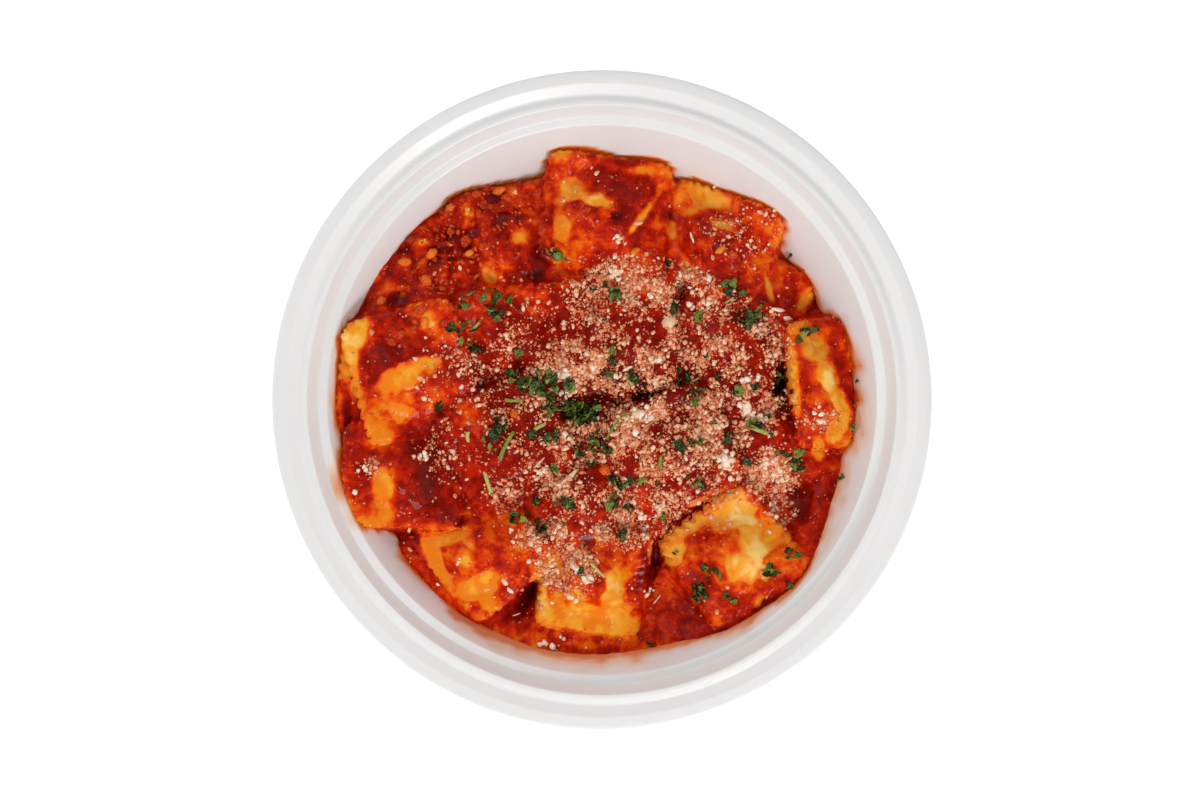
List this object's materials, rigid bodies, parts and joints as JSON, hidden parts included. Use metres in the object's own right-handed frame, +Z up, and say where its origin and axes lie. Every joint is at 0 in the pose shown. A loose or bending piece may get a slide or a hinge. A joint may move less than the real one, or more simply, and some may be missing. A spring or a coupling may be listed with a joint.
{
  "type": "bowl of ravioli",
  "caption": "Square ravioli in tomato and meat sauce with grated cheese and chopped parsley, in a shallow round white takeaway bowl.",
  "frame": {"origin": "centre of the bowl's foot ring, on the surface that the bowl rests on", "axes": "+Z up, out of the bowl's mouth; +X and +Y lie in the plane of the rim, with +Y towards the side of the bowl that has the bare wall above the food"},
  "size_m": [0.229, 0.229, 0.057],
  "materials": {
    "bowl": "white moulded polypropylene, satin",
    "pasta": "moist egg pasta with a film of sauce",
    "sauce": "glossy oily tomato sauce",
    "meat": "moist crumbs of minced meat and tomato",
    "cheese": "dry grated hard cheese",
    "parsley": "chopped fresh leaves and stems"
  },
  "bodies": {
    "root": {"bowl": "bowl", "ravioli_bottom": "pasta", "ravioli_bottom_left": "pasta", "ravioli_bottom_left_under": "pasta", "ravioli_centre_bottom": "pasta", "ravioli_centre_left": "pasta", "ravioli_centre_right": "pasta", "ravioli_centre_top": "pasta", "ravioli_centre_top_right": "pasta", "ravioli_centre_upper_left": "pasta", "ravioli_left": "pasta", "ravioli_left_under": "pasta", "ravioli_lower_left": "pasta", "ravioli_lower_right": "pasta", "ravioli_right": "pasta", "ravioli_right_under": "pasta", "ravioli_top": "pasta", "ravioli_top_left": "pasta", "ravioli_top_right": "pasta", "ravioli_top_right_under": "pasta", "ravioli_upper_left": "pasta", "sauce": "sauce"}
  },
  "joints": []
}
